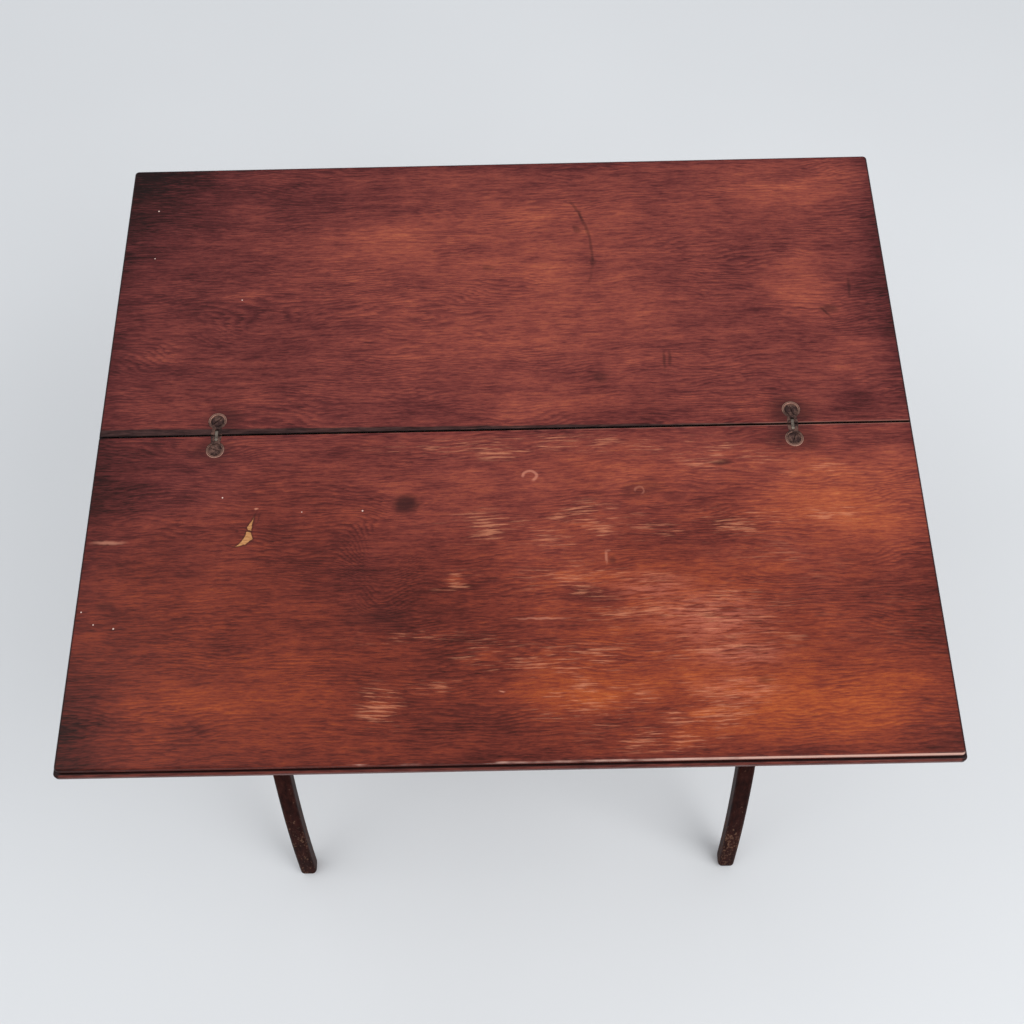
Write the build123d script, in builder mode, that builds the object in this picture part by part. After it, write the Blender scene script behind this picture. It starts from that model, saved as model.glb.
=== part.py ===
from build123d import *
from math import cos, radians, sin, tan
import os

os.makedirs("parts", exist_ok=True)

# Driving dimensions in millimetres. The origin is on the floor below the middle of the top.
# X runs along the seam, Y away from the player at the front, Z up.
top_width = 762.0
top_depth = 635.0
top_height = 686.0
top_thickness = 16.0
seam_gap = 1.5

# Clearances
running_fit = 0.05
seat_clearance = 0.3
cut_overrun = 2.0

# Moulded edge of the top, from its lower arris up
band_height = 7.0
band_round = 2.2
band_foot_round = 1.0
groove_height = 2.6
groove_depth = 1.5
nosing_set_back = 3.0
nosing_round = 2.5
corner_radius = 4.0
seam_arris = 0.5

# Link hinges
hinge_inset = 113.0
plate_thickness = 5.0
eye_offset = 15.2
eye_radius = 8.7
eye_recess_radius = 6.4
eye_recess_depth = 0.9
eye_rim_round = 0.6
ear_seam_width = 10.5
ear_neck_width = 7.5
ear_reach = 10.0
link_pin_offset = 3.8
link_pin_depth = 2.25
link_pin_radius = 1.0
link_pin_length = 8.0
link_end_radius = 2.2
link_width = 3.0
link_arris = 0.4
link_side_clearance = 0.2
seam_foot_round = link_pin_offset - seam_gap / 2

# Screws
head_radius = 4.8
head_height = 2.6
head_sink = 0.4
screw_radius = 1.9
plate_screw_length = 12.0
bearer_screw_length = 46.0
slot_width = 1.1
slot_depth = 0.9
slot_turns = {(-1, 1): 40.0, (1, 1): 105.0, (-1, -1): 160.0, (1, -1): 70.0}

# Legs: sawn boards that cross as an X. Their angles are leans from upright, in degrees.
leg_inset = 98.0
leg_thickness = 20.0
leg_depth = 22.0
leg_arris = 5.0
sole_round = 3.0
frame_gap = 1.0
foot_inset = 49.5
toe_lift = 8.0
foot_angle = 12.0
shin_angle = 21.0
stretcher_angle = 27.0
upper_angle = 44.0
shin_radius = 1415.0
knee_radius = 420.0

# Rails
rail_drop = 20.0
rail_radius = 9.0
tenon_radius = 6.0
pin_radius = 0.9
pin_length = 16.0

# Bearers
bearer_thickness = 24.0
bearer_depth = 36.0
bearer_gap = 2.0
bearer_end = 26.0
bearer_end_round = 12.0
notch_angle = 38.0
bearer_screw_places = (35.0, 125.0)

# Crossing pivots
bolt_radius = 3.0
bolt_head_radius = 7.0
bolt_head_height = 3.0
bolt_head_round = 2.2
bolt_tail = 1.0
washer_radius = 8.0
nut_washer_thickness = 1.2
nut_width = 10.0
nut_height = 5.0

# Levels and places that follow
hinge_x = top_width / 2 - hinge_inset
outer_leg_face = top_width / 2 - leg_inset
foot_spread = top_depth / 2 - foot_inset
under_face = top_height - top_thickness
rail_height = under_face - rail_drop
groove_level = under_face + band_height
nosing_level = groove_level + groove_height
outer_frame_face = outer_leg_face - leg_thickness
inner_leg_face = outer_frame_face - frame_gap
inner_frame_face = inner_leg_face - leg_thickness
bearer_face = inner_frame_face - bearer_gap
plate_level = top_height - plate_thickness
link_pin_height = top_height - link_pin_depth


def along_arc(start, radius, lean_from, lean_to):
    """Distance from the centre and height at the far end of an arc that leans more as it rises."""
    inward = radius * (cos(radians(lean_from)) - cos(radians(lean_to)))
    rise = radius * (sin(radians(lean_to)) - sin(radians(lean_from)))
    return start[0] - inward, start[1] + rise


# Leg centre line, as distance towards the foot's side and height
foot_point = (foot_spread, toe_lift)
shin_point = along_arc(foot_point, shin_radius, foot_angle, shin_angle)
stretcher_point = along_arc(shin_point, knee_radius, shin_angle, stretcher_angle)
knee_point = along_arc(shin_point, knee_radius, shin_angle, upper_angle)
upper_slope = tan(radians(upper_angle))
crossing_point = (0, knee_point[1] + knee_point[0] / upper_slope)
rail_point = (knee_point[0] - (rail_height - knee_point[1]) * upper_slope, rail_height)
rail_y = -rail_point[0]


def write(piece, name):
    piece.part.label = name
    export_step(piece.part, f"parts/{name}.step")


# The two halves of the top
def plate_outline(hand, side, growth):
    """Plan of a hinge plate: a round eye and an ear that widens to the seam."""
    ear_start = side * (seam_gap / 2 - growth)
    ear_end = side * (seam_gap / 2 + ear_reach)
    seam_half = ear_seam_width / 2 + growth
    neck_half = ear_neck_width / 2 + growth
    with BuildSketch() as outline:
        with Locations((hand * hinge_x, side * eye_offset)):
            Circle(eye_radius + growth)
        with BuildLine():
            Polyline(
                (hand * hinge_x - seam_half, ear_start),
                (hand * hinge_x + seam_half, ear_start),
                (hand * hinge_x + neck_half, ear_end),
                (hand * hinge_x - neck_half, ear_end),
                close=True,
            )
        make_face()
    return outline.sketch


def make_leaf(side):
    """Board on one side of the seam, moulded on its three outer edges."""
    tiers = (
        (under_face, band_height, 0),
        (groove_level, groove_height, nosing_set_back + groove_depth),
        (nosing_level, top_height - nosing_level, nosing_set_back),
    )
    rounds = (band_round, 0, nosing_round)
    outward = -1 if side > 0 else 0
    with BuildPart() as leaf:
        for (level, height, inset), top_round in zip(tiers, rounds):
            reach = top_depth / 2 - inset - seam_gap / 2
            with BuildSketch(Plane.XY.offset(level)) as tier:
                with Locations((0, side * (seam_gap + reach) / 2)):
                    Rectangle(top_width - 2 * inset, reach)
                fillet(tier.vertices().group_by(Axis.Y)[outward], corner_radius)
            extrude(amount=height)
            if top_round:
                rim = leaf.faces().sort_by(Axis.Z)[-1].edges().sort_by(Axis.Y)
                fillet(rim[1:] if side > 0 else rim[:-1], top_round)
        foot_rim = leaf.faces().sort_by(Axis.Z)[0].edges().sort_by(Axis.Y)
        fillet(foot_rim[1:] if side > 0 else foot_rim[:-1], band_foot_round)
        seam_rim = leaf.faces().sort_by(Axis.Z)[-1].edges().sort_by(Axis.Y)
        chamfer(seam_rim[0] if side > 0 else seam_rim[-1], seam_arris)
        # The leaf's lower arris is rounded so that it clears the bearers on either pin.
        seam_foot = leaf.faces().sort_by(Axis.Z)[0].edges().sort_by(Axis.Y)
        fillet(seam_foot[0] if side > 0 else seam_foot[-1], seam_foot_round)
        for hand in (-1, 1):
            with BuildSketch(Plane.XY.offset(plate_level - running_fit)):
                add(plate_outline(hand, side, running_fit))
            extrude(amount=plate_thickness + cut_overrun, mode=Mode.SUBTRACT)
            with BuildSketch(Plane.XY.offset(top_height - head_sink)):
                with Locations((hand * hinge_x, side * eye_offset)):
                    Circle(screw_radius + running_fit)
            extrude(amount=-plate_screw_length - running_fit, mode=Mode.SUBTRACT)
        if side > 0:
            with BuildSketch(Plane.XY.offset(under_face)):
                for hand in (-1, 1):
                    for place in bearer_screw_places:
                        with Locations((hand * (bearer_face - bearer_thickness / 2), place)):
                            Circle(screw_radius + running_fit)
            bite = head_sink + bearer_screw_length - bearer_depth
            extrude(amount=bite + running_fit, mode=Mode.SUBTRACT)
    return leaf


write(make_leaf(-1), "front_leaf")
write(make_leaf(1), "back_leaf")


# Link hinges
def make_plate(hand, side):
    """One half of a link hinge, let in flush with the top."""
    centre = (hand * hinge_x, side * eye_offset)
    slot_end = link_pin_offset + link_end_radius + seat_clearance
    with BuildPart() as plate:
        with BuildSketch(Plane.XY.offset(plate_level)):
            add(plate_outline(hand, side, 0))
        extrude(amount=plate_thickness)
        with BuildSketch(Plane.XY.offset(top_height)):
            with Locations(centre):
                Circle(eye_recess_radius)
        extrude(amount=-eye_recess_depth, mode=Mode.SUBTRACT)
        fillet(plate.edges().group_by(Axis.Z)[-1].filter_by(GeomType.CIRCLE), eye_rim_round)
        with Locations((*centre, top_height - head_sink - head_height / 2)):
            Cone(
                screw_radius + running_fit,
                head_radius + running_fit,
                head_height,
                mode=Mode.SUBTRACT,
            )
        with BuildSketch(Plane.XY.offset(top_height)):
            with Locations(centre):
                Circle(screw_radius + running_fit)
        extrude(amount=-plate_thickness - cut_overrun, mode=Mode.SUBTRACT)
        with BuildSketch(Plane.XY.offset(plate_level)):
            with Locations((hand * hinge_x, side * slot_end / 2)):
                Rectangle(link_width + 2 * link_side_clearance, slot_end)
        extrude(amount=plate_thickness, mode=Mode.SUBTRACT)
        with BuildSketch(Plane.YZ.offset(hand * hinge_x)):
            with Locations((side * link_pin_offset, link_pin_height)):
                Circle(link_pin_radius + running_fit)
        extrude(amount=link_pin_length / 2 + running_fit, both=True, mode=Mode.SUBTRACT)
    return plate


for side, side_name in ((-1, "front"), (1, "back")):
    for hand, hand_name in ((-1, "left"), (1, "right")):
        write(make_plate(hand, side), f"hinge_plate_{side_name}_{hand_name}")

    with BuildPart() as link_pins:
        for hand in (-1, 1):
            with BuildSketch(Plane.YZ.offset(hand * hinge_x)):
                with Locations((side * link_pin_offset, link_pin_height)):
                    Circle(link_pin_radius)
            extrude(amount=link_pin_length / 2, both=True)
    write(link_pins, f"hinge_pins_{side_name}")

    with BuildPart() as plate_screws:
        for hand in (-1, 1):
            centre = (hand * hinge_x, side * eye_offset)
            head_top = top_height - head_sink
            with Locations((*centre, head_top - head_height / 2)):
                Cone(screw_radius, head_radius, head_height)
            with BuildSketch(Plane.XY.offset(head_top - head_height)):
                with Locations(centre):
                    Circle(screw_radius)
            extrude(amount=head_height - plate_screw_length)
            with BuildSketch(Plane.XY.offset(head_top)):
                with Locations(Location((*centre, 0), slot_turns[hand, side])):
                    Rectangle(2 * head_radius, slot_width)
            extrude(amount=-slot_depth, mode=Mode.SUBTRACT)
    write(plate_screws, f"hinge_screws_{side_name}")

for hand, hand_name in ((-1, "left"), (1, "right")):
    with BuildPart() as link:
        with BuildSketch(Plane.YZ.offset(hand * hinge_x)):
            with Locations((0, link_pin_height)):
                SlotCenterToCenter(2 * link_pin_offset, 2 * link_end_radius)
            with Locations(
                (-link_pin_offset, link_pin_height), (link_pin_offset, link_pin_height)
            ):
                Circle(link_pin_radius + running_fit, mode=Mode.SUBTRACT)
        extrude(amount=link_width / 2, both=True)
        cheeks = link.faces().filter_by(Axis.X)
        fillet([edge for cheek in cheeks for edge in cheek.outer_wire().edges()], link_arris)
    write(link, f"hinge_link_{hand_name}")


# Bearers under the top
def make_bearer(hand):
    """Rail under the top: a hole at the back for the rear rail, a notch at the front."""
    half_length = rail_y + bearer_end
    notch_radius = rail_radius + seat_clearance
    flare = radians(notch_angle)
    lower_face = under_face - bearer_depth
    tangent = (-rail_y + notch_radius * cos(flare), rail_height + notch_radius * sin(flare))
    mouth_level = lower_face - cut_overrun
    mouth_end = tangent[0] + (tangent[1] - mouth_level) * tan(flare)
    start = bearer_face - bearer_thickness if hand > 0 else -bearer_face
    with BuildPart() as bearer:
        with BuildSketch(Plane.YZ.offset(start)) as view:
            with Locations((0, under_face - bearer_depth / 2)):
                Rectangle(2 * half_length, bearer_depth)
            fillet(view.vertices().group_by(Axis.Y)[0], bearer_end_round)
            with Locations((rail_y, rail_height)):
                Circle(rail_radius + running_fit, mode=Mode.SUBTRACT)
            with Locations((-rail_y, rail_height)):
                Circle(notch_radius, mode=Mode.SUBTRACT)
            with BuildLine():
                Polyline(
                    (-rail_y - notch_radius, rail_height),
                    tangent,
                    (mouth_end, mouth_level),
                    (-rail_y - notch_radius, mouth_level),
                    close=True,
                )
            make_face(mode=Mode.SUBTRACT)
        extrude(amount=bearer_thickness)
        for place in bearer_screw_places:
            centre = (start + bearer_thickness / 2, place)
            with BuildSketch(Plane.XY.offset(lower_face)):
                with Locations(centre):
                    Circle(screw_radius + running_fit)
            extrude(amount=bearer_depth, mode=Mode.SUBTRACT)
            with BuildSketch(Plane.XY.offset(lower_face)):
                with Locations(centre):
                    Circle(head_radius + running_fit)
            extrude(amount=head_sink, mode=Mode.SUBTRACT)
            with Locations((*centre, lower_face + head_sink + head_height / 2)):
                Cone(
                    head_radius + running_fit,
                    screw_radius + running_fit,
                    head_height,
                    mode=Mode.SUBTRACT,
                )
    return bearer


write(make_bearer(-1), "bearer_left")
write(make_bearer(1), "bearer_right")

with BuildPart() as bearer_screws:
    for hand in (-1, 1):
        for place in bearer_screw_places:
            centre = (hand * (bearer_face - bearer_thickness / 2), place)
            head_level = under_face - bearer_depth + head_sink
            with Locations((*centre, head_level + head_height / 2)):
                Cone(head_radius, screw_radius, head_height)
            with BuildSketch(Plane.XY.offset(head_level + head_height)):
                with Locations(centre):
                    Circle(screw_radius)
            extrude(amount=bearer_screw_length - head_height)
            with BuildSketch(Plane.XY.offset(head_level)):
                with Locations(centre):
                    Rectangle(slot_width, 2 * head_radius)
            extrude(amount=slot_depth, mode=Mode.SUBTRACT)
write(bearer_screws, "bearer_screws")


# Leg frames. The outer frame has its feet at the front, foot_side -1, the inner at the back.
def at_side(point, foot_side):
    """A point of the centre line in the plane of Y and Z."""
    return foot_side * point[0], point[1]


def rail_pin_planes(middle_x, foot_side):
    """Planes on a leg's edge, from which the pins go in across the rails' tenons."""
    planes = []
    for point, lean in ((rail_point, upper_angle), (stretcher_point, stretcher_angle)):
        across = (cos(radians(lean)), foot_side * sin(radians(lean)))
        y, z = at_side(point, foot_side)
        origin = (middle_x, y - across[0] * leg_depth / 2, z - across[1] * leg_depth / 2)
        planes.append(Plane(origin=origin, x_dir=(1, 0, 0), z_dir=(0, *across)))
    return planes


def make_leg(start_x, foot_side):
    """Curved leg: upright at the foot, then leaning in to the straight upper half."""
    lean = radians(foot_angle)
    with BuildPart() as leg:
        with BuildSketch(Plane.YZ.offset(start_x)):
            with BuildLine():
                shin = TangentArc(
                    at_side(foot_point, foot_side),
                    at_side(shin_point, foot_side),
                    tangent=(-foot_side * sin(lean), cos(lean)),
                )
                TangentArc(shin @ 1, at_side(knee_point, foot_side), tangent=shin % 1)
                Line(at_side(knee_point, foot_side), at_side(rail_point, foot_side))
                offset(amount=leg_depth / 2)
            make_face()
        extrude(amount=leg_thickness)
        cheeks = leg.faces().filter_by(Axis.X)
        fillet(cheeks.edges(), leg_arris)
        with BuildSketch(Plane.XY):
            with Locations((start_x + leg_thickness / 2, foot_side * foot_spread)):
                Rectangle(2 * leg_thickness, 2 * leg_depth)
        extrude(amount=-leg_depth, mode=Mode.SUBTRACT)
        fillet(leg.faces().sort_by(Axis.Z)[0].edges(), sole_round)
        with BuildSketch(Plane.YZ.offset(start_x)):
            with Locations(at_side(rail_point, foot_side), at_side(stretcher_point, foot_side)):
                Circle(tenon_radius + running_fit)
            with Locations(crossing_point):
                Circle(bolt_radius + running_fit)
        extrude(amount=leg_thickness, mode=Mode.SUBTRACT)
        for plane in rail_pin_planes(start_x + leg_thickness / 2, foot_side):
            with BuildSketch(plane):
                Circle(pin_radius + running_fit)
            extrude(amount=pin_length + running_fit, mode=Mode.SUBTRACT)
    return leg


def make_rail(point, face, foot_side, pin_index):
    """Round rail between two legs, with a thinner tenon through each leg."""
    y, z = at_side(point, foot_side)
    with BuildPart() as rail:
        for radius, half_length in ((rail_radius, face), (tenon_radius, face + leg_thickness)):
            with BuildSketch(Plane.YZ):
                with Locations((y, z)):
                    Circle(radius)
            extrude(amount=half_length, both=True)
        for hand in (-1, 1):
            middle_x = hand * (face + leg_thickness / 2)
            with BuildSketch(rail_pin_planes(middle_x, foot_side)[pin_index]):
                Circle(pin_radius + running_fit)
            extrude(amount=pin_length + running_fit, mode=Mode.SUBTRACT)
    return rail


frames = (("outer", outer_frame_face, -1, "rear"), ("inner", inner_frame_face, 1, "front"))
for frame_name, face, foot_side, rail_name in frames:
    write(make_leg(-face - leg_thickness, foot_side), f"{frame_name}_leg_left")
    write(make_leg(face, foot_side), f"{frame_name}_leg_right")
    write(make_rail(rail_point, face, foot_side, 0), f"{rail_name}_top_rail")
    write(make_rail(stretcher_point, face, foot_side, 1), f"{frame_name}_stretcher")

    with BuildPart() as rail_pins:
        for hand in (-1, 1):
            for plane in rail_pin_planes(hand * (face + leg_thickness / 2), foot_side):
                with BuildSketch(plane):
                    Circle(pin_radius)
                extrude(amount=pin_length)
    write(rail_pins, f"rail_pins_{frame_name}")


# Pivots where the frames cross
def crossing_plane(hand, distance):
    """Plane across the crossing bolt, facing outward, at a distance from the middle."""
    origin = (hand * distance, *crossing_point)
    return Plane(origin=origin, x_dir=(0, 1, 0), z_dir=(hand, 0, 0))


nut_face = inner_frame_face - nut_washer_thickness
bolt_end = nut_face - nut_height - bolt_tail

with BuildPart() as crossing_bolts:
    for hand in (-1, 1):
        with BuildSketch(crossing_plane(hand, bolt_end)):
            Circle(bolt_radius)
        extrude(amount=outer_leg_face - bolt_end)
        with BuildSketch(crossing_plane(hand, outer_leg_face)):
            Circle(bolt_head_radius)
        extrude(amount=bolt_head_height)
    heads = crossing_bolts.faces().filter_by(Axis.X).sort_by(Axis.X)
    fillet(heads[0].edges() + heads[-1].edges(), bolt_head_round)
write(crossing_bolts, "crossing_bolts")

washers = (
    ("crossing_spacers", inner_leg_face, frame_gap),
    ("crossing_nut_washers", nut_face, nut_washer_thickness),
)
for washer_name, start, thickness in washers:
    with BuildPart() as washer:
        for hand in (-1, 1):
            with BuildSketch(crossing_plane(hand, start)):
                Circle(washer_radius)
                Circle(bolt_radius + running_fit, mode=Mode.SUBTRACT)
            extrude(amount=thickness)
    write(washer, washer_name)

with BuildPart() as crossing_nuts:
    for hand in (-1, 1):
        with BuildSketch(crossing_plane(hand, nut_face - nut_height)):
            RegularPolygon(nut_width / 2, 6, major_radius=False)
            Circle(bolt_radius + running_fit, mode=Mode.SUBTRACT)
        extrude(amount=nut_height)
write(crossing_nuts, "crossing_nuts")
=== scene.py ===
import math
import bmesh
import bpy
from mathutils import Matrix, Vector

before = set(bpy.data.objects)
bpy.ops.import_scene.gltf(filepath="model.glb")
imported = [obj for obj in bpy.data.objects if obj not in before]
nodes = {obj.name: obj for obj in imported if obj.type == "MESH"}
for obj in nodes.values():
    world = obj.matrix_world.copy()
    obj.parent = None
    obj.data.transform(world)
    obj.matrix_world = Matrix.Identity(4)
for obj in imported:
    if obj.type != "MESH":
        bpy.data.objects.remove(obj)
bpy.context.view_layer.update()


class Wire:
    # one output of a node: sums written on it add Math nodes
    def __init__(self, finish, socket):
        self.finish = finish
        self.socket = socket

    def math(self, operation, first, second=0.0, clamp=False):
        return self.finish.node("ShaderNodeMath", {"operation": operation, "use_clamp": clamp},
                                {0: first, 1: second})

    def __add__(self, other): return self.math("ADD", self, other)
    def __radd__(self, other): return self.math("ADD", other, self)
    def __sub__(self, other): return self.math("SUBTRACT", self, other)
    def __rsub__(self, other): return self.math("SUBTRACT", other, self)
    def __mul__(self, other): return self.math("MULTIPLY", self, other)
    def __rmul__(self, other): return self.math("MULTIPLY", other, self)
    def __abs__(self): return self.math("ABSOLUTE", self)
    def clamp(self): return self.math("ADD", self, 0.0, clamp=True)
    def greater(self, other): return self.math("MAXIMUM", self, other)


def paint(red, green, blue):
    # a colour as it looks on screen, 0 to 255, turned into what the shader wants
    def linear(value):
        value /= 255
        return value / 12.92 if value <= 0.04045 else ((value + 0.055) / 1.055) ** 2.4
    return linear(red), linear(green), linear(blue), 1.0


class Finish:
    # a material under construction, with the few moves that every finish here uses
    def __init__(self, name):
        self.material = bpy.data.materials.new(name)
        self.material.use_nodes = True
        self.tree = self.material.node_tree
        self.tree.nodes.clear()
        # the sum with zero helps to keep the top's long shader within what Cycles can hold
        self.place = self.vector("ADD", self.node("ShaderNodeTexCoord", output="Object"), (0, 0, 0))
        self.x, self.y, self.z = self.split(self.place)

    def node(self, kind, settings=None, values=None, output=0):
        made = self.tree.nodes.new(kind)
        for name, value in (settings or {}).items():
            if name == "stops":
                ramp = made.color_ramp
                while len(ramp.elements) < len(value):
                    ramp.elements.new(0.5)
                for element, (position, colour) in zip(ramp.elements, value):
                    element.position = position
                    element.color = colour
            else:
                setattr(made, name, value)
        for name, value in (values or {}).items():
            if isinstance(value, Wire):
                self.tree.links.new(value.socket, made.inputs[name])
            else:
                made.inputs[name].default_value = value
        return Wire(self, made.outputs[output])

    def split(self, place):
        parts = self.node("ShaderNodeSeparateXYZ", values={0: place})
        return [Wire(self, part) for part in parts.socket.node.outputs]

    def vector(self, operation, *values, output=0):
        return self.node("ShaderNodeVectorMath", {"operation": operation},
                         dict(enumerate(values)), output)

    def ramp(self, share, shades):
        # colours by their place on the ramp, from 0 to 1
        stops = tuple((position, paint(*shade)) for position, shade in shades)
        return self.node("ShaderNodeValToRGB", {"stops": stops}, {0: share})

    def mix(self, share, first, second):
        return self.node("ShaderNodeMix", {"data_type": "RGBA"},
                         {0: share, 6: first, 7: second}, output=2)

    def coat(self, colour, mask, share, shade):
        # lays one shade over a colour, as far as a mask and a share let it
        return self.mix(mask * share, colour, paint(*shade))

    def rise(self, value, start, end, low=0.0, high=1.0):
        # a soft step: low up to the start, high from the end on
        return self.node("ShaderNodeMapRange", {"interpolation_type": "SMOOTHSTEP"},
                         {0: value, 1: start, 2: end, 3: low, 4: high})

    def noise(self, place, scale, detail=2.0, roughness=0.5, output="Fac"):
        return self.node("ShaderNodeTexNoise", values={
            "Vector": place, "Scale": scale, "Detail": detail, "Roughness": roughness},
            output=output)

    def grain(self, place, stretch, *kind, turn=(0, 0, 0)):
        # noise drawn out along the wood; kind is its scale, detail and roughness
        drawn = self.node("ShaderNodeMapping", {"vector_type": "POINT"},
                          {"Vector": place, "Rotation": turn, "Scale": stretch})
        return self.noise(drawn, *kind)

    def shifted(self, place, scale, reach):
        # the same place, moved about by a slow noise, so that edges and grain wander
        drift = self.vector("SUBTRACT", self.noise(place, scale, output="Color"), (0.5, 0.5, 0.5))
        return self.vector("MULTIPLY_ADD", drift, reach, place)

    def reach(self, place, centre, size, turn=0.0):
        # 0 at a centre, 1 on the edge of an oval round it
        along, over = math.cos(math.radians(turn)), math.sin(math.radians(turn))
        axes = (along / size[0], over / size[0], 0), (-over / size[1], along / size[1], 0)
        shift = tuple(-axis[0] * centre[0] - axis[1] * centre[1] for axis in axes)
        if turn:
            local = self.node("ShaderNodeCombineXYZ", values={
                number: self.vector("DOT_PRODUCT", place, axis, output="Value") + shift[number]
                for number, axis in enumerate(axes)})
        else:
            local = self.vector("MULTIPLY_ADD", place, (axes[0][0], axes[1][1], 0), (*shift, 0))
        return self.vector("LENGTH", local, output="Value")

    def spot(self, place, centre, size, turn=0.0, core=0.0):
        # 1 from an oval's core inwards, 0 outside the oval
        return self.rise(self.reach(place, centre, size, turn), 1.0, core)

    def gather(self, parts, join="ADD"):
        # each part is worked out and joined before the next one, which keeps the shader short
        whole = None
        for part in parts:
            whole = part if whole is None else whole.math(join, whole, part)
        return whole

    def spots(self, place, rows, join="ADD", grow=1.0, core=0.0):
        # rows of spots: centre, half size, a turn where there is one, and how strong
        return self.gather((self.spot(place, centre, tuple(side * grow for side in size),
                                      *turn, core=core) * share
                            for centre, size, *turn, share in rows), join)

    def flake(self, place, corners):
        # how far inside a shape a place is; the corners go round to the left
        across, away = self.split(place)[:2]

        def inward(start, end):
            long = math.dist(start, end)
            right, up = (start[1] - end[1]) / long, (end[0] - start[0]) / long
            return across * right + away * up - (start[0] * right + start[1] * up)
        return self.gather((inward(start, end) for start, end
                            in zip(corners, corners[1:] + corners[:1])), "MINIMUM")

    def done(self, colour, roughness, bump=None, depth=0.0, **others):
        # others are the shader's other sockets, with _ for a space
        shader = self.tree.nodes.new("ShaderNodeBsdfPrincipled")
        self.tree.links.new(colour.socket, shader.inputs["Base Color"])
        self.tree.links.new(roughness.socket, shader.inputs["Roughness"])
        if bump is not None:
            normal = self.node("ShaderNodeBump", values={
                "Height": bump, "Distance": depth, "Strength": 1.0})
            self.tree.links.new(normal.socket, shader.inputs["Normal"])
        for name, value in others.items():
            socket = shader.inputs[name.replace("_", " ")]
            if isinstance(value, Wire):
                self.tree.links.new(value.socket, socket)
            else:
                socket.default_value = value
        out = self.tree.nodes.new("ShaderNodeOutputMaterial")
        self.tree.links.new(shader.outputs[0], out.inputs[0])
        return self.material


# camera, at the place and turn that the photograph was taken from
view = {"lens": 45.809, "sensor": 36.0, "place": (0.0132, -0.5920, 1.7456),
        "right": (0.99977676, -0.01559985, -0.01425036),
        "up": (0.02022108, 0.90201033, 0.43124063),
        "back": (0.00612668, -0.43143252, 0.90212441)}


def makeCamera():
    lens = bpy.data.cameras.new("tableCamera")
    lens.lens = view["lens"]
    lens.sensor_width = view["sensor"]
    lens.sensor_fit = "HORIZONTAL"
    camera = bpy.data.objects.new("tableCamera", lens)
    bpy.context.collection.objects.link(camera)
    turn = Matrix((view["right"], view["up"], view["back"])).transposed()
    camera.matrix_world = Matrix.Translation(view["place"]) @ turn.to_4x4()
    bpy.context.scene.camera = camera


makeCamera()
print("camera is set")

# room: an open pale floor and soft light from above
room = {"size": 9.0, "cloud": (1.3, 3.0), "rough": (0.55, 0.75),
        "floor": ((0.3, (207, 209, 211)), (0.7, (211, 213, 215))),
        "sky": (0.95, 0.97, 1.0, 1.0), "skyLight": 0.82,
        # each lamp's place, width and power, and the height over the middle that they point at
        "lamps": (((1.5, -0.9, 2.6), 1.6, 40.0), ((-1.5, -0.2, 2.7), 1.8, 18.0)), "aim": 0.6}


def makeRoom():
    sheet = bmesh.new()
    bmesh.ops.create_grid(sheet, x_segments=1, y_segments=1, size=room["size"])
    mesh = bpy.data.meshes.new("floor")
    sheet.to_mesh(mesh)
    sheet.free()
    floor = bpy.data.objects.new("floor", mesh)
    bpy.context.collection.objects.link(floor)
    look = Finish("floorPaint")
    cloud = look.noise(look.place, *room["cloud"])
    colour = look.ramp(cloud, room["floor"])
    mesh.materials.append(look.done(colour, look.rise(cloud, 0.0, 1.0, *room["rough"])))
    world = bpy.data.worlds.new("room")
    bpy.context.scene.world = world
    world.use_nodes = True
    sky = world.node_tree.nodes["Background"]
    sky.inputs["Color"].default_value = room["sky"]
    sky.inputs["Strength"].default_value = room["skyLight"]
    for number, (place, size, power) in enumerate(room["lamps"]):
        lamp = bpy.data.lights.new("lamp%d" % number, "AREA")
        lamp.size = size
        lamp.energy = power
        holder = bpy.data.objects.new("lamp%d" % number, lamp)
        bpy.context.collection.objects.link(holder)
        aim = -Vector(place)
        aim.z += room["aim"]
        turn = aim.to_track_quat("-Z", "Y").to_matrix().to_4x4()
        holder.matrix_world = Matrix.Translation(place) @ turn
    bpy.context.scene.view_settings.view_transform = "Standard"


makeRoom()
print("room and lamps are set")

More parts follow.
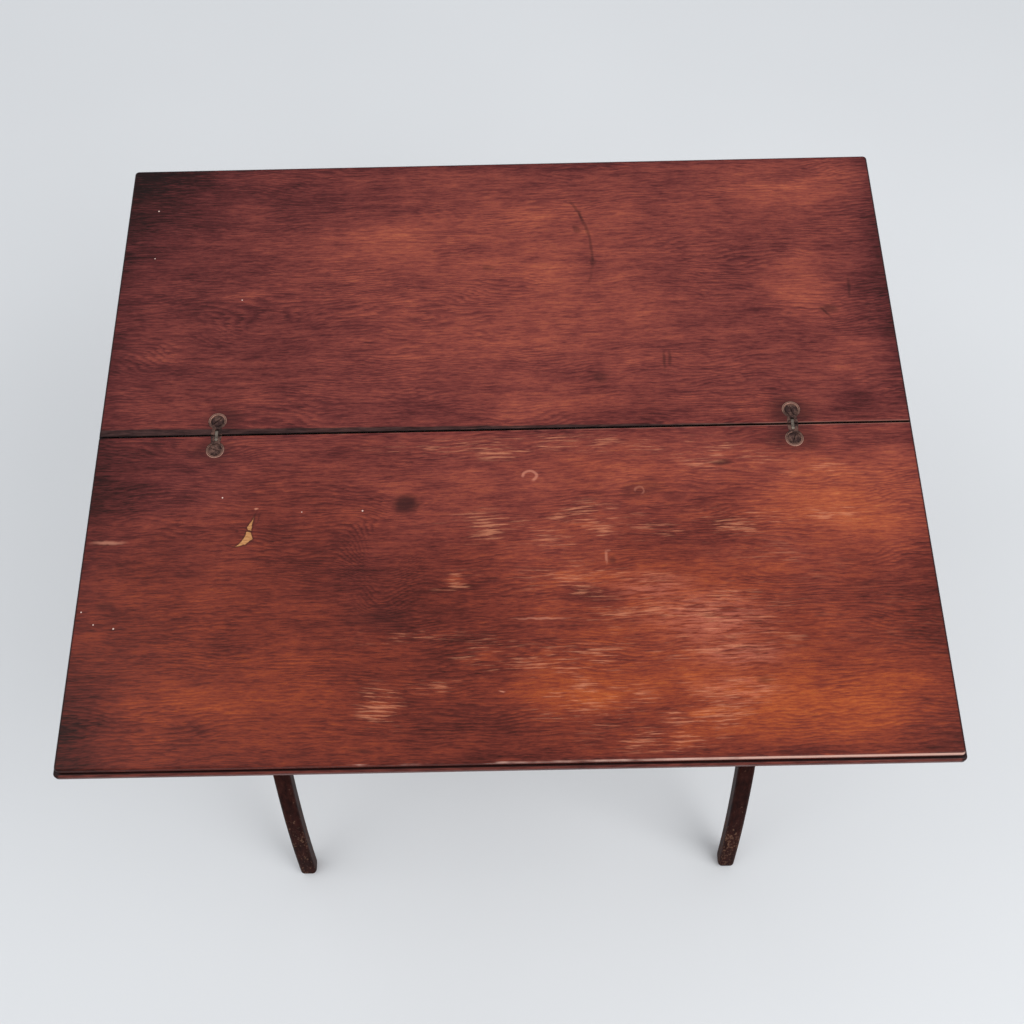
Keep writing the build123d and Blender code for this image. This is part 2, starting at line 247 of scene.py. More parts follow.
# top: stained and varnished boards, worn by use; places are metres on the top, seen from above
top = {
    "halfDepth": 0.3175,  # from the seam to the front edge
    # how finely and how far the grain wanders, and the edges of worn places and of marks
    "wander": ((3.0, (0.0, 0.022, 0.0)), (14.0, (0.0, 0.0045, 0.0)),
               (62.0, (0.0030, 0.0011, 0.0))),
    "ragged": (11.0, (0.050, 0.020, 0.0)), "frayed": (70.0, (0.012, 0.003, 0.0)),
    "fine": (130.0, (0.003, 0.003, 0.0)),
    # noises, each with its stretch, scale, detail and roughness; a cloud isn't stretched
    "bands": ((1.0, 7.0, 7.0), 4.5, 4.0, 0.55), "streaks": ((1.0, 8.0, 8.0), 18.0, 4.0, 0.60),
    "lines": ((1.0, 11.0, 11.0), 56.0, 3.0, 0.62), "hairs": ((1.0, 7.0, 7.0), 160.0, 2.0, 0.6),
    "cloud": (7.0, 4.0, 0.6), "mottle": ((1.0, 1.6, 1.0), 30.0, 3.0, 0.6),
    "dashes": ((1.0, 16.0, 16.0), 38.0, 4.0, 0.60), "clumps": ((1.0, 2.2, 1.0), 26.0, 2.0, 0.5),
    # the plain tone, and how much bands, streaks, lines, cloud, mottle and hairs change it
    "base": 0.47, "changes": (0.28, 0.26, 0.60, 0.30, 0.22, 0.46),
    # growth lines: how many to a metre, how they sway, and how much darker and lighter they are
    "growth": {"perMetre": 290.0, "sway": 16.0, "jitter": 1.8, "darker": 0.14, "lighter": 0.04,
               "bend": ((1.0, 2.6, 1.0), 7.0, 2.0), "patches": ((1.0, 2.0, 1.0), 12.0, 3.0)},
    # from dark to light: wine red at the back, warmer and browner towards the player, and how
    # far a cloud moves the line between them
    "warmSway": 0.25,
    "wine": ((0.0, (24, 9, 9)), (0.15, (44, 16, 16)), (0.35, (79, 32, 32)),
             (0.5, (106, 48, 43)), (0.62, (128, 61, 50)), (0.75, (150, 76, 56)),
             (0.88, (168, 94, 65)), (1.0, (188, 120, 86))),
    "warm": ((0.0, (24, 9, 7)), (0.15, (46, 16, 12)), (0.35, (83, 32, 25)),
             (0.5, (110, 45, 31)), (0.62, (131, 57, 33)), (0.75, (154, 73, 36)),
             (0.88, (175, 93, 48)), (1.0, (195, 121, 76))),
    # dark and warm areas: centre, half size, turn in degrees, how much lighter or darker
    "areas": (
        ((-0.370, 0.300), (0.170, 0.150), 0, -0.30), ((-0.390, 0.120), (0.070, 0.220), 0, -0.10),
        ((-0.310, 0.165), (0.110, 0.060), 0, -0.14), ((-0.200, 0.270), (0.090, 0.040), -12, -0.14),
        ((0.400, 0.150), (0.060, 0.260), 0, -0.12), ((0.190, 0.130), (0.170, 0.060), 8, 0.02),
        ((-0.020, 0.130), (0.260, 0.140), 0, 0.13), ((0.290, 0.270), (0.120, 0.060), 0, 0.17),
        ((-0.140, 0.018), (0.400, 0.036), 0, -0.08), ((0.040, 0.022), (0.120, 0.030), 0, 0.16),
        ((0.060, 0.255), (0.200, 0.060), 0, 0.08), ((-0.395, -0.080), (0.090, 0.140), 0, -0.15),
        ((-0.330, -0.045), (0.130, 0.065), 0, -0.17), ((-0.380, -0.280), (0.080, 0.080), 0, -0.24),
        ((-0.110, -0.150), (0.120, 0.070), 0, -0.12), ((-0.040, -0.290), (0.110, 0.045), 6, -0.13),
        ((-0.060, -0.225), (0.090, 0.050), 10, -0.06), ((0.310, -0.082), (0.170, 0.080), -6, 0.24),
        ((0.270, -0.268), (0.210, 0.050), 0, 0.23), ((-0.230, -0.255), (0.150, 0.050), 0, 0.10),
        ((0.350, -0.290), (0.050, 0.040), 0, -0.10), ((0.150, -0.170), (0.190, 0.110), 0, 0.13),
        ((0.110, -0.040), (0.150, 0.050), 0, 0.13), ((0.300, -0.190), (0.090, 0.060), 0, 0.02),
        ((0.060, -0.250), (0.090, 0.050), 0, 0.14), ((0.330, 0.080), (0.060, 0.030), 0, 0.10),
        ((0.335, 0.022), (0.065, 0.022), 0, -0.14), ((0.075, -0.165), (0.040, 0.020), 0, -0.22),
        ((0.300, 0.150), (0.060, 0.060), 0, 0.18),
        ((-0.130, 0.215), (0.120, 0.045), 0, 0.08), ((0.297, 0.295), (0.045, 0.016), 4, -0.12),
        ((-0.015, -0.222), (0.024, 0.010), 0, 0.16), ((-0.045, -0.152), (0.015, 0.008), 0, 0.18),
        ((-0.105, -0.264), (0.022, 0.016), 0, 0.10), ((0.071, -0.265), (0.034, 0.014), 0, 0.10),
        ((0.196, -0.256), (0.026, 0.009), 0, 0.12), ((0.166, -0.278), (0.024, 0.007), 6, 0.12),
        ((0.144, -0.293), (0.030, 0.006), 0, 0.10), ((0.133, -0.303), (0.024, 0.005), 0, 0.08),
        ((0.079, -0.096), (0.044, 0.013), 0, 0.05), ((0.074, -0.150), (0.050, 0.014), 0, 0.12)),
    # varnish rubbed through to pale wood in streaks: centre, half size, how much
    "rubbed": (
        ((0.070, -0.098), (0.080, 0.022), 0.85), ((-0.018, -0.100), (0.050, 0.024), 0.50),
        ((0.074, -0.150), (0.070, 0.026), 0.65), ((-0.045, -0.152), (0.026, 0.010), 0.80),
        ((0.103, -0.184), (0.050, 0.026), 0.45), ((-0.093, -0.203), (0.060, 0.008), 0.60),
        ((-0.015, -0.222), (0.040, 0.018), 0.75), ((0.058, -0.227), (0.050, 0.020), 0.60),
        ((-0.105, -0.264), (0.026, 0.020), 0.90), ((0.071, -0.265), (0.050, 0.022), 0.85),
        ((-0.066, -0.246), (0.030, 0.008), 0.60), ((0.040, -0.020), (0.150, 0.014), 0.75),
        ((0.200, -0.030), (0.080, 0.016), 0.65), ((0.200, -0.100), (0.080, 0.018), 0.75),
        ((0.290, -0.093), (0.040, 0.012), 0.55), ((0.300, -0.050), (0.050, 0.016), 0.45),
        ((0.170, -0.195), (0.110, 0.050), 0.50), ((0.196, -0.256), (0.045, 0.018), 0.90),
        ((0.166, -0.280), (0.045, 0.012), 0.85), ((0.120, -0.298), (0.060, 0.010), 0.75),
        ((0.330, -0.190), (0.060, 0.040), 0.20), ((0.250, -0.140), (0.080, 0.040), 0.25)),
    # how much clumps and zones change the rubbing, and how much lines change the pits
    "clumped": 0.50, "zoned": 0.11, "lined": 0.6,
    # faded pink places, then knots and dark spots, written the same way
    "pink": (((0.170, -0.190), (0.085, 0.036), 0.55), ((0.205, -0.222), (0.060, 0.022), 0.50),
             ((0.125, -0.160), (0.050, 0.022), 0.50), ((0.200, -0.256), (0.055, 0.018), 0.45)),
    "knots": (((-0.091, -0.074), (0.014, 0.011), 0.95), ((0.196, -0.038), (0.012, 0.003), 0.75),
              ((0.123, -0.064), (0.014, 0.010), 0.35), ((0.228, -0.248), (0.008, 0.004), 0.45),
              ((0.093, 0.056), (0.010, 0.006), 0.50), ((0.315, 0.126), (0.012, 0.005), 0.55),
              ((-0.110, -0.182), (0.030, 0.012), 0.30), ((-0.017, 0.183), (0.007, 0.004), 0.40),
              ((-0.268, -0.015), (0.018, 0.015), 0.65), ((0.268, -0.015), (0.020, 0.016), 0.65),
              ((-0.268, 0.015), (0.018, 0.015), 0.60), ((0.268, 0.015), (0.020, 0.018), 0.75),
              ((-0.123, -0.301), (0.012, 0.002), 0.60), ((-0.358, -0.166), (0.010, 0.004), 0.50),
              ((0.082, 0.230), (0.003, 0.006), 0.45), ((0.091, 0.188), (0.003, 0.006), 0.45),
              ((0.099, -0.131), (0.004, 0.004), 0.50)),
    # rings of grain round knots and in curly places: centre, half size, how many
    "swirls": (((-0.108, -0.122), (0.050, 0.050), 9.0), ((-0.111, -0.170), (0.040, 0.024), 5.0),
               ((-0.091, -0.074), (0.045, 0.026), 4.0), ((-0.017, 0.183), (0.030, 0.014), 3.0),
               ((0.228, -0.248), (0.030, 0.012), 2.5), ((-0.230, 0.110), (0.080, 0.040), 5.0),
               ((0.290, 0.110), (0.070, 0.030), 4.0), ((0.060, 0.100), (0.110, 0.030), 4.0)),
    # short dark strokes, with a turn in degrees, and short pale ones
    "ticks": (((0.1535, 0.072), (0.0018, 0.011), 0, 0.65),
              ((0.159, 0.074), (0.0018, 0.009), 0, 0.6),
              ((0.339, 0.151), (0.0016, 0.012), -4, 0.7),
              ((0.3135, 0.122), (0.0016, 0.008), 40, 0.6),
              ((0.0805, 0.245), (0.0020, 0.008), 12, 0.4),
              ((0.373, 0.187), (0.003, 0.003), 0, 0.8),
              ((-0.2480, -0.1125), (0.0070, 0.0009), -20, 0.6),
              ((-0.2415, -0.0985), (0.0016, 0.0014), 0, 0.6),
              ((-0.2225, -0.0860), (0.0008, 0.0070), -14, 0.4)),
    "pale": (((0.0890, -0.1310), (0.0014, 0.0070), 0.30),
             ((0.0908, -0.1254), (0.0026, 0.0011), 0.20),
             ((-0.2255, -0.0768), (0.0022, 0.0010), 0.55),
             ((-0.0050, -0.2530), (0.0030, 0.0008), 0.50),
             ((-0.3560, -0.1080), (0.0160, 0.0022), 0.40),
             ((0.0300, -0.1880), (0.0260, 0.0012), 0.30)),
    # specks of pale paint: centre and radius
    "specks": (((-0.257, -0.065), 0.0009), ((-0.129, -0.081), 0.0010), ((-0.184, -0.081), 0.0007),
               ((-0.342, -0.190), 0.0010), ((-0.360, -0.186), 0.0008), ((-0.372, -0.174), 0.0008),
               ((-0.348, 0.262), 0.0010), ((-0.346, 0.203), 0.0008), ((-0.255, 0.151), 0.0009)),
    # flakes lost from the varnish, each by its corners, going round to the left
    "chip": (((-0.2268, -0.0860), (-0.2325, -0.0955), (-0.2310, -0.0985), (-0.2285, -0.0985)),
             ((-0.2290, -0.1000), (-0.2325, -0.1000), (-0.2370, -0.1125), (-0.2330, -0.1130),
              (-0.2272, -0.1070)),
             ((-0.2340, -0.1080), (-0.2415, -0.1142), (-0.2330, -0.1128))),
    # two pale ring marks: centre, half size, how strong, and where each ring is open
    "rings": (((0.023, -0.049), (0.0078, 0.0062), 0.40), ((0.122, -0.066), (0.0050, 0.0046), 0.18)),
    "ringLine": 0.8, "mouth": {"left": 0.004, "front": 0.005, "size": (0.008, 0.006)},
    # grime at the seam: how uneven it is, and how much wider to the left; the painted highlight on
    # the seam arrises: how much more to the right, and how much less under the grime
    "seam": {"uneven": 0.003, "leftwards": 0.0105, "rightwards": 0.5, "covered": 0.15},
    # what breaks up the front rim of worn varnish and painted highlight, and how much more there is
    # to the right
    "rim": {"streaks": 0.5, "mottle": 0.5, "rightwards": 0.7},
    # the long curved scratch is part of a circle
    "scratch": {"centre": (-0.036, 0.196), "radius": 0.1260, "share": 0.50},
    # where each thing starts and where it is full: metres along, across or up, or a noise's value
    "edge": {
        "onTop": (0.6854, 0.6857), "under": (0.6706, 0.6701), "ends": (0.351, 0.381),
        "long": (0.2955, 0.3175), "warm": (0.06, -0.26), "patches": (0.40, 0.62),
        "veins": (0.22, 0.46), "between": (0.20, 0.04), "brokenVeins": (0.30, 0.60),
        "pink": (0.40, 0.62), "rubbed": (0.58, 0.76), "zones": (0.0, 0.50),
        "scratch": (0.0190, 0.0020), "scratchFront": (0.156, 0.168),
        "scratchBack": (0.275, 0.255), "brokenScratch": (0.30, 0.60), "scratchSide": (0.0, 0.02),
        "pits": (0.60, 0.72), "grime": (0.0050, 0.0032), "backBoard": (0.0, 0.0004),
        "arris": (0.0022, 0.0015), "arrisHeight": (0.6846, 0.6855), "brokenArris": (0.42, 0.62),
        "gap": (0.0014, 0.0009), "rings": (0.28, 0.05), "chip": (-0.0003, 0.0004),
        "chipBorder": (-0.0022, -0.0004), "frontEdge": (0.0062, 0.0052),
        "ledgeFoot": (0.6762, 0.6766), "ledgeHead": (0.6806, 0.6798),
        "groove": (0.0014, 0.0022), "bandFoot": (0.6700, 0.6706), "bandHead": (0.6775, 0.6771),
        "rimFoot": (0.6824, 0.6836), "rimHead": (0.6858, 0.6854), "brokenRim": (0.42, 0.66),
        "endFace": (0.3752, 0.3768), "backFace": (0.3118, 0.3132)},
    # what is laid over the stain: how much of it, and its shade
    "coat": {
        # on the seam arrises a painted highlight, in the seam gap painted shade, in the front
        # groove dirt and painted shade, and on the front nosing worn varnish with a painted
        # highlight
        "rubbed": (0.52, (196, 126, 94)), "pits": (0.22, (46, 17, 17)),
        "arris": (0.50, (150, 104, 92)), "gap": (0.95, (12, 7, 7)),
        "chipBorder": (0.5, (44, 20, 18)), "specks": (0.85, (216, 186, 174)),
        "groove": (0.94, (20, 7, 7)), "rim": (0.70, (220, 178, 162)), "ends": (0.88, (30, 12, 12))},
    "shade": {"pink": (172, 98, 80), "dark": (46, 20, 20), "rings": (206, 136, 112),
              "pale": (206, 140, 114)},
    "ramp": {
        "grime": ((0.35, (18, 12, 12)), (0.65, (56, 41, 39))),
        "chip": ((0.35, (138, 92, 54)), (0.65, (186, 134, 88))),
        "bare": ((0.3, (84, 52, 38)), (0.5, (116, 76, 54)), (0.7, (140, 96, 68))),
        "band": ((0.35, (62, 28, 25)), (0.65, (108, 56, 48)))},
    # how much darker the ends and long sides are, and how much dark marks, grime and band show
    "darkerEnds": 0.06, "darkerLong": 0.10, "dark": 0.90, "grimy": 0.88, "band": 0.75,
    "bare": {"streaks": 0.6, "bands": 0.4},  # what the bare underside's grain is made of
    # roughness, and how far each thing stands up from the surface or lies below it
    "rough": {"plain": 0.38, "cloud": 0.16, "rubbed": 0.22, "chipped": 0.3, "under": 0.35,
              "pits": 0.1},
    "height": {"lines": 0.4, "streaks": 0.2, "pits": 0.5, "veins": 0.3, "chipped": 2.5,
               "scratch": 0.6},
    "relief": 0.00022,
    "gloss": {"Coat_Weight": 0.05, "Coat_Roughness": 0.22, "Specular_IOR_Level": 0.08}}


def topFinish():
    look = Finish("wornMahogany")
    edge, coat, shade, ramp = top["edge"], top["coat"], top["shade"], top["ramp"]
    along = look.place
    for scale, reach in top["wander"]:
        along = look.shifted(along, scale, reach)
    ragged = look.shifted(look.place, *top["ragged"])
    frayed = look.shifted(ragged, *top["frayed"])
    fine = look.shifted(look.place, *top["fine"])

    # grain, from broad bands to pores; a noise lies round 0.5
    bands, streaks, lines, hairs = (look.grain(along, *top[name])
                                    for name in ("bands", "streaks", "lines", "hairs"))
    cloud = look.noise(look.place, *top["cloud"])
    mottle = look.grain(look.place, *top["mottle"])
    tone = top["base"]
    for noise, change in zip((bands, streaks, lines, cloud, mottle, hairs), top["changes"]):
        tone = tone + (noise - 0.5) * change
    tone = tone + look.spots(ragged, top["areas"])
    # ends and long sides are darker
    ends = look.rise(abs(look.x), *edge["ends"])
    sides = look.rise(abs(look.y), *edge["long"])
    tone = tone - ends * top["darkerEnds"] - sides * top["darkerLong"]

    # growth lines, bent round the knots: thin dark lines that come and go
    growth = top["growth"]
    rings = look.y * growth["perMetre"] + look.grain(look.place, *growth["bend"]) * growth["sway"]
    rings = rings + (lines - 0.5) * growth["jitter"]
    rings = rings + look.spots(look.place, top["swirls"])
    rings = rings.math("PINGPONG", rings, 0.5)
    patches = look.rise(look.grain(look.place, *growth["patches"]), *edge["patches"])
    veins = look.rise(rings, *edge["veins"]) * patches * look.rise(hairs, *edge["brokenVeins"])
    tone = tone - veins * growth["darker"]
    tone = tone + look.rise(rings, *edge["between"]) * patches * growth["lighter"]
    warmth = look.rise(look.y + (cloud - 0.5) * top["warmSway"], *edge["warm"])
    colour = look.mix(warmth, look.ramp(tone, top["wine"]), look.ramp(tone, top["warm"]))

    # pink, faded and rubbed places
    onTop = look.rise(look.z, *edge["onTop"])
    pink = look.spots(frayed, top["pink"], "MAXIMUM", core=0.1)
    pink = pink * look.rise(lines, *edge["pink"]) * onTop
    colour = look.mix(pink, colour, paint(*shade["pink"]))
    zones = look.spots(ragged, top["rubbed"], "MAXIMUM", grow=1.5)
    dashes = look.grain(along, *top["dashes"])
    clumps = look.grain(look.place, *top["clumps"])
    rubbed = dashes + (clumps - 0.5) * top["clumped"] + zones * top["zoned"]
    rubbed = look.rise(rubbed, *edge["rubbed"])
    rubbed = rubbed * look.rise(zones, *edge["zones"]) * onTop
    colour = look.coat(colour, rubbed, *coat["rubbed"])

    # knots, dark ticks and the curved scratch, then pores
    dark = look.spots(frayed, top["knots"], grow=1.35, core=0.25)
    dark = dark + look.spots(fine, top["ticks"], grow=1.5, core=0.1)
    scratch = top["scratch"]
    arc = look.reach(fine, scratch["centre"], (scratch["radius"], scratch["radius"]))
    arc = look.rise(abs(arc - 1.0), *edge["scratch"])
    arc = arc * look.rise(look.y, *edge["scratchFront"])
    arc = arc * look.rise(look.y, *edge["scratchBack"])
    broken = look.rise(mottle, *edge["brokenScratch"])
    dark = dark + arc * broken * look.rise(look.x, *edge["scratchSide"]) * scratch["share"]
    colour = look.mix((dark * onTop * top["dark"]).clamp(), colour, paint(*shade["dark"]))
    pits = look.rise(hairs + (lines - 0.5) * top["lined"], *edge["pits"])
    colour = look.coat(colour, pits, *coat["pits"])

    # seam: painted shade that makes the gap black, grime along the back board, widest on the left,
    # and a painted highlight on both arrises
    seam = top["seam"]
    grime = look.y + (mottle - 0.5) * seam["uneven"] + look.x * seam["leftwards"]
    grime = look.rise(grime, *edge["grime"])
    grime = grime * look.rise(look.y, *edge["backBoard"])
    grimy = look.ramp(lines, ramp["grime"])
    colour = look.mix(grime * top["grimy"], colour, grimy)
    # painted highlight along both arrises of the seam, brighter to the right where the light comes
    # from and weaker under the grime
    arris = look.rise(abs(look.y), *edge["arris"]) * look.rise(look.z, *edge["arrisHeight"])
    broken = streaks + look.x * seam["rightwards"] - grime * seam["covered"]
    broken = look.rise(broken, *edge["brokenArris"])
    colour = look.coat(colour, arris * broken, *coat["arris"])
    # painted shade: the gap between the leaves and its rounded lips are painted near black
    colour = look.coat(colour, look.rise(abs(look.y), *edge["gap"]), *coat["gap"])

    # pale marks: two rings, short strokes, the chip with its dark border, and specks of paint
    mouth = top["mouth"]
    for (across, away), size, share in top["rings"]:
        ring = look.reach(fine, (across, away), size)
        ring = look.rise(abs(ring - top["ringLine"]), *edge["rings"])
        opening = look.spot(look.place, (across - mouth["left"], away - mouth["front"]),
                            mouth["size"], core=0.5)
        colour = look.mix((ring - opening).clamp() * share * onTop, colour, paint(*shade["rings"]))
    strokes = look.spots(fine, top["pale"], "MAXIMUM", grow=1.3, core=0.2)
    colour = look.mix(strokes * onTop, colour, paint(*shade["pale"]))
    depth = look.gather((look.flake(fine, corners) for corners in top["chip"]), "MAXIMUM")
    chipped = look.rise(depth, *edge["chip"]) * onTop
    colour = look.coat(colour, look.rise(depth, *edge["chipBorder"]) * onTop, *coat["chipBorder"])
    colour = look.mix(chipped, colour, look.ramp(hairs, ramp["chip"]))
    specks = look.gather((look.spot(look.place, centre, (radius, radius), core=0.5)
                          for centre, radius in top["specks"]), "MAXIMUM")
    colour = look.coat(colour, specks * onTop, *coat["specks"])

    # the underside was never varnished
    under = look.rise(look.z, *edge["under"])
    share = top["bare"]
    bare = look.ramp(streaks * share["streaks"] + bands * share["bands"], ramp["bare"])
    colour = look.mix(under, colour, bare)

    # front edge: dirt and painted shade in the groove, a worn band below it, and worn varnish
    # with a painted highlight on the nosing above
    inward = top["halfDepth"] - abs(look.y)
    atEdge = look.rise(inward, *edge["frontEdge"])
    ledge = look.rise(look.z, *edge["ledgeFoot"]) * look.rise(look.z, *edge["ledgeHead"])
    # dirt and painted shade in the groove under the nosing, darkest on the inner part of the ledge
    groove = ledge * look.rise(inward, *edge["groove"]) * atEdge
    band = look.rise(look.z, *edge["bandHead"]) * look.rise(look.z, *edge["bandFoot"]) * atEdge
    colour = look.mix(band * top["band"], colour, look.ramp(lines, ramp["band"]))
    colour = look.coat(colour, groove, *coat["groove"])
    # worn varnish with a painted highlight on the nosing, stronger to the right
    rim = look.rise(look.z, *edge["rimHead"]) * look.rise(look.z, *edge["rimFoot"]) * atEdge
    share = top["rim"]
    broken = streaks * share["streaks"] + mottle * share["mottle"] + look.x * share["rightwards"]
    rim = rim * look.rise(broken, *edge["brokenRim"])
    colour = look.coat(colour, rim, *coat["rim"])
    # the other edges are almost black
    others = look.rise(abs(look.x), *edge["endFace"])
    others = others.greater(look.rise(look.y, *edge["backFace"]))
    colour = look.coat(colour, others, *coat["ends"])

    share = top["rough"]
    rough = share["plain"] + (cloud - 0.5) * share["cloud"] + rubbed * share["rubbed"]
    rough = rough + chipped * share["chipped"] + under * share["under"] + pits * share["pits"]
    share = top["height"]
    height = lines * share["lines"] + streaks * share["streaks"] - pits * share["pits"]
    height = height - veins * share["veins"] - chipped * share["chipped"] - arc * share["scratch"]
    return look.done(colour, rough, height, top["relief"], **top["gloss"])


# legs: almost black varnished wood with rubbed edges and knocks near the feet
legs = {
    "tones": ((0.25, (14, 6, 5)), (0.45, (32, 14, 12)), (0.6, (50, 24, 20)), (0.8, (72, 40, 32))),
    # degrees that the grain leans by in each frame
    "outerLean": -21, "innerLean": 21,
    "wander": (6.0, (0.004, 0.012, 0.0)), "cloud": (18.0, 4.0, 0.6),
    "streaks": ((22.0, 22.0, 1.3), 9.0, 5.0, 0.6), "lines": ((24.0, 24.0, 1.0), 40.0, 3.0, 0.6),
    "knocks": ((1.0, 1.0, 0.5), 330.0, 3.0, 0.65),
    "tone": {"streaks": 0.55, "lines": 0.25, "cloud": 0.25},
    # worn spots: more of them low down and in clouds, their edge, how much of them, their shade
    "low": (0.20, 0.01), "lower": 0.11, "cloudy": 0.55, "wornEdge": (0.66, 0.80),
    "worn": (0.65, (126, 94, 76)),
    "soleEdge": (0.006, 0.001), "sole": (0.6, (96, 70, 52)),
    "rough": {"plain": 0.36, "cloud": 0.2, "worn": 0.3, "sole": 0.3},
    "height": {"lines": 0.4, "streaks": 0.3, "worn": 0.8}, "relief": 0.0003,
    "gloss": {"Coat_Weight": 0.0, "Specular_IOR_Level": 0.01}}


def legFinish(name, lean):
    look = Finish(name)
    along = look.shifted(look.place, *legs["wander"])
    turn = (math.radians(lean), 0.0, 0.0)
    streaks = look.grain(along, *legs["streaks"], turn=turn)
    lines = look.grain(along, *legs["lines"], turn=turn)
    cloud = look.noise(look.place, *legs["cloud"])
    share = legs["tone"]
    tone = streaks * share["streaks"] + lines * share["lines"] + cloud * share["cloud"]
    colour = look.ramp(tone, legs["tones"])
    knocks = look.grain(look.place, *legs["knocks"])
    low = look.rise(look.z, *legs["low"])
    worn = knocks + low * legs["lower"] + (cloud - 0.5) * legs["cloudy"]
    worn = look.rise(worn, *legs["wornEdge"])
    colour = look.coat(colour, worn, *legs["worn"])
    sole = look.rise(look.z, *legs["soleEdge"])
    colour = look.coat(colour, sole, *legs["sole"])
    share = legs["rough"]
    rough = share["plain"] + (cloud - 0.5) * share["cloud"]
    rough = rough + worn * share["worn"] + sole * share["sole"]
    share = legs["height"]
    height = lines * share["lines"] + streaks * share["streaks"] - worn * share["worn"]
    return look.done(colour, rough, height, legs["relief"], **legs["gloss"])


# rails and bearers: plain hardwood, stained but hardly varnished
rails = {
    "tones": ((0.25, (58, 32, 22)), (0.45, (86, 50, 34)), (0.6, (108, 66, 44)),
              (0.8, (134, 88, 60))),
    # the grain's stretch: rails lie across the table, bearers from front to back
    "across": (1.4, 22.0, 22.0), "frontToBack": (22.0, 1.4, 22.0), "finer": 1.2,
    "wander": (7.0, (0.006, 0.006, 0.003)), "cloud": (12.0, 4.0, 0.6),
    "streaks": (9.0, 5.0, 0.6), "lines": (44.0, 3.0, 0.6), "pores": (130.0, 2.0),
    "poreEdge": (0.62, 0.72), "pore": (0.5, (44, 24, 17)),
    "tone": {"streaks": 0.5, "lines": 0.3, "cloud": 0.25},
    "rough": {"plain": 0.55, "cloud": 0.2, "pores": 0.1},
    "height": {"lines": 0.5, "streaks": 0.4, "pores": 0.6}, "relief": 0.0003}


def railFinish(name, stretch):
    look = Finish(name)
    along = look.shifted(look.place, *rails["wander"])
    streaks = look.grain(along, stretch, *rails["streaks"])
    lines = look.grain(along, tuple(side * rails["finer"] for side in stretch), *rails["lines"])
    cloud = look.noise(look.place, *rails["cloud"])
    share = rails["tone"]
    tone = streaks * share["streaks"] + lines * share["lines"] + cloud * share["cloud"]
    colour = look.ramp(tone, rails["tones"])
    pores = look.rise(look.grain(along, stretch, *rails["pores"]), *rails["poreEdge"])
    colour = look.coat(colour, pores, *rails["pore"])
    share = rails["rough"]
    rough = share["plain"] + (cloud - 0.5) * share["cloud"] + pores * share["pores"]
    share = rails["height"]
    height = lines * share["lines"] + streaks * share["streaks"] - pores * share["pores"]
    return look.done(colour, rough, height, rails["relief"])


# metals: colours of the clean metal and of the tarnish, and how much tarnish there is
metals = {
    "hinge_brass": {"clean": (150, 112, 98), "tarnish": (30, 14, 13), "share": 0.55, "rough": 0.42},
    "link_steel": {"clean": (116, 106, 96), "tarnish": (62, 52, 46), "share": 0.50, "rough": 0.42},
    "screw_steel": {"clean": (112, 84, 74), "tarnish": (46, 27, 25), "share": 0.65, "rough": 0.45},
    "bolt_steel": {"clean": (148, 146, 140), "tarnish": (78, 60, 48), "share": 0.40, "rough": 0.40}}
# their blotches, fine dirt and rubbing, as scale, detail and roughness, and what all have alike
ageing = {"blotch": (160.0, 5.0, 0.65), "fine": (900.0, 3.0, 0.6),
          "rub": ((1.0, 9.0, 9.0), 420.0, 2.0, 0.6), "edge": (0.38, 0.62),
          # how much fine dirt and a metal's own share change its tarnish
          "dirt": 0.3, "more": 0.5,
          "rough": {"tarnish": 0.25, "rub": 0.2}, "metallic": {"plain": 0.85, "tarnish": 0.65},
          "height": {"fine": 0.5, "blotch": 0.5, "rub": 0.4}, "relief": 0.00006,
          "gloss": {"Specular_IOR_Level": 0.2}}
# hinge eyes: where they are, the radii of their rings of rubbed brass and painted highlight, and
# how these are shaped and broken up
eyes = {"across": 0.268, "from": 0.0152, "rings": (0.0081, 0.0067), "ringEdge": (0.0006, 0.0002),
        "brokenRings": (0.36, 0.60), "outward": 24.0, "dirt": (0.35, 0.65), "ringRubAndHighlight": 0.95}


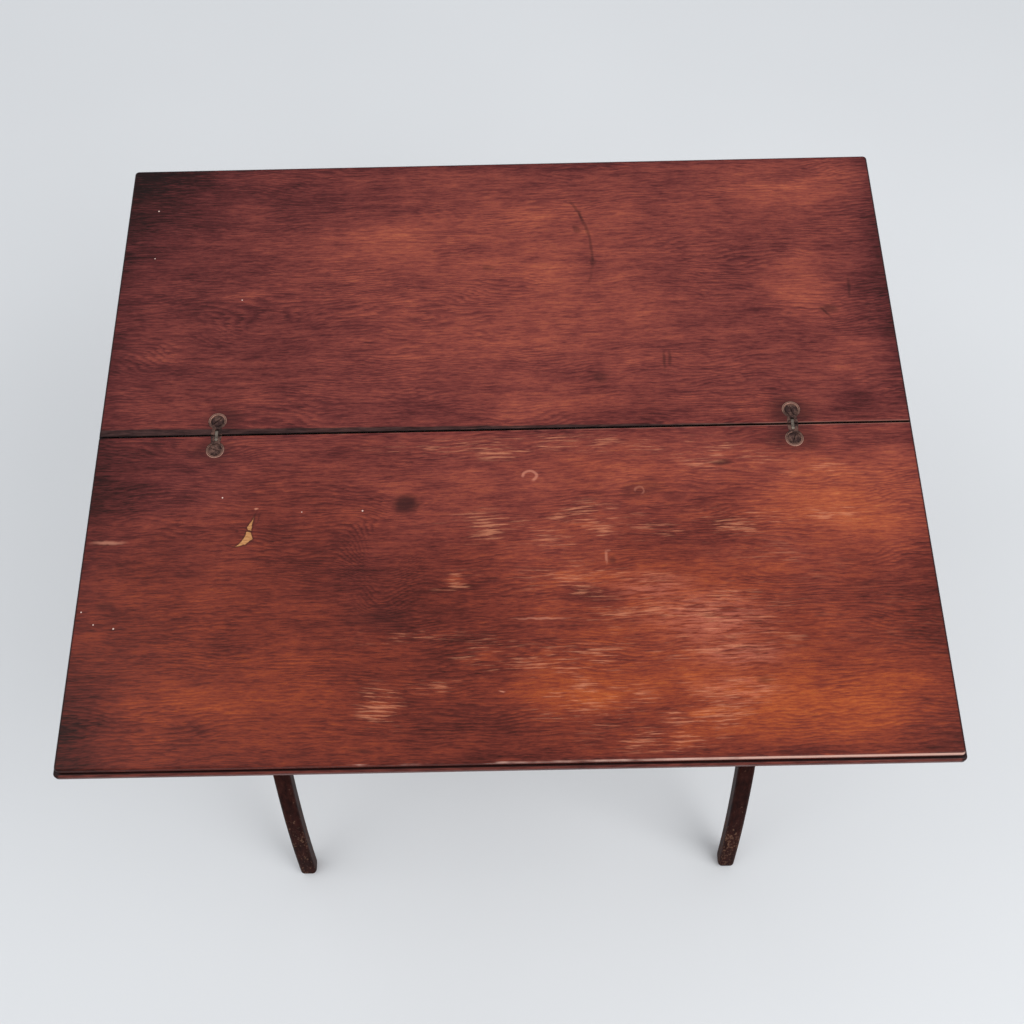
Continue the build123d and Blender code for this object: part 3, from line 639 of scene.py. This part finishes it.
def metalFinish(name):
    kind = metals[name]
    look = Finish(name + "Aged")
    blotch = look.noise(look.place, *ageing["blotch"])
    fine = look.noise(look.place, *ageing["fine"])
    rub = look.grain(look.place, *ageing["rub"])
    tarnish = blotch + (fine - 0.5) * ageing["dirt"] + (kind["share"] - 0.5) * ageing["more"]
    tarnish = look.rise(tarnish, *ageing["edge"])
    if name == "hinge_brass":
        # all four eyes at once: rubbed brass with a painted highlight on the rings, stronger away
        # from the seam, and dirt between them
        folded = look.node("ShaderNodeCombineXYZ", values={0: abs(look.x) - eyes["across"],
                                                           1: abs(look.y) - eyes["from"]})
        radius = look.vector("LENGTH", folded, output="Value")
        ringRubAndHighlight = look.gather((look.rise(abs(radius - ring), *eyes["ringEdge"])
                              for ring in eyes["rings"]), "MAXIMUM")
        outward = (abs(look.y) - eyes["from"]) * eyes["outward"]
        ringRubAndHighlight = ringRubAndHighlight * look.rise(blotch + outward, *eyes["brokenRings"])
        uneven, even = eyes["dirt"]
        tarnish = (tarnish * uneven + even - ringRubAndHighlight * eyes["ringRubAndHighlight"]).clamp()
    colour = look.mix(tarnish, paint(*kind["clean"]), paint(*kind["tarnish"]))
    share = ageing["rough"]
    rough = kind["rough"] + tarnish * share["tarnish"] + (rub - 0.5) * share["rub"]
    metal = ageing["metallic"]["plain"] - tarnish * ageing["metallic"]["tarnish"]
    share = ageing["height"]
    height = fine * share["fine"] + blotch * share["blotch"] + rub * share["rub"]
    return look.done(colour, rough, height, ageing["relief"], Metallic=metal, **ageing["gloss"])


def dress():
    topWood = topFinish()
    outerWood = legFinish("outerLegWood", legs["outerLean"])
    innerWood = legFinish("innerLegWood", legs["innerLean"])
    crossWood = railFinish("railWood", rails["across"])
    bearerWood = railFinish("bearerWood", rails["frontToBack"])
    aged = {name: metalFinish(name) for name in metals}
    for name, node in nodes.items():
        if name.endswith("leaf"):
            chosen = topWood
        elif name.startswith("outer_leg"):
            chosen = outerWood
        elif name.startswith("inner_leg"):
            chosen = innerWood
        elif name.startswith("bearer_") and not name.endswith("screws"):
            chosen = bearerWood
        elif name.endswith(("rail", "stretcher")):
            chosen = crossWood
        else:
            slot = node.material_slots[0].material.name.split(".")[0]
            chosen = aged.get(slot, aged["bolt_steel"])
        for holder in node.material_slots:
            holder.material = chosen


dress()
print("finishes are on")
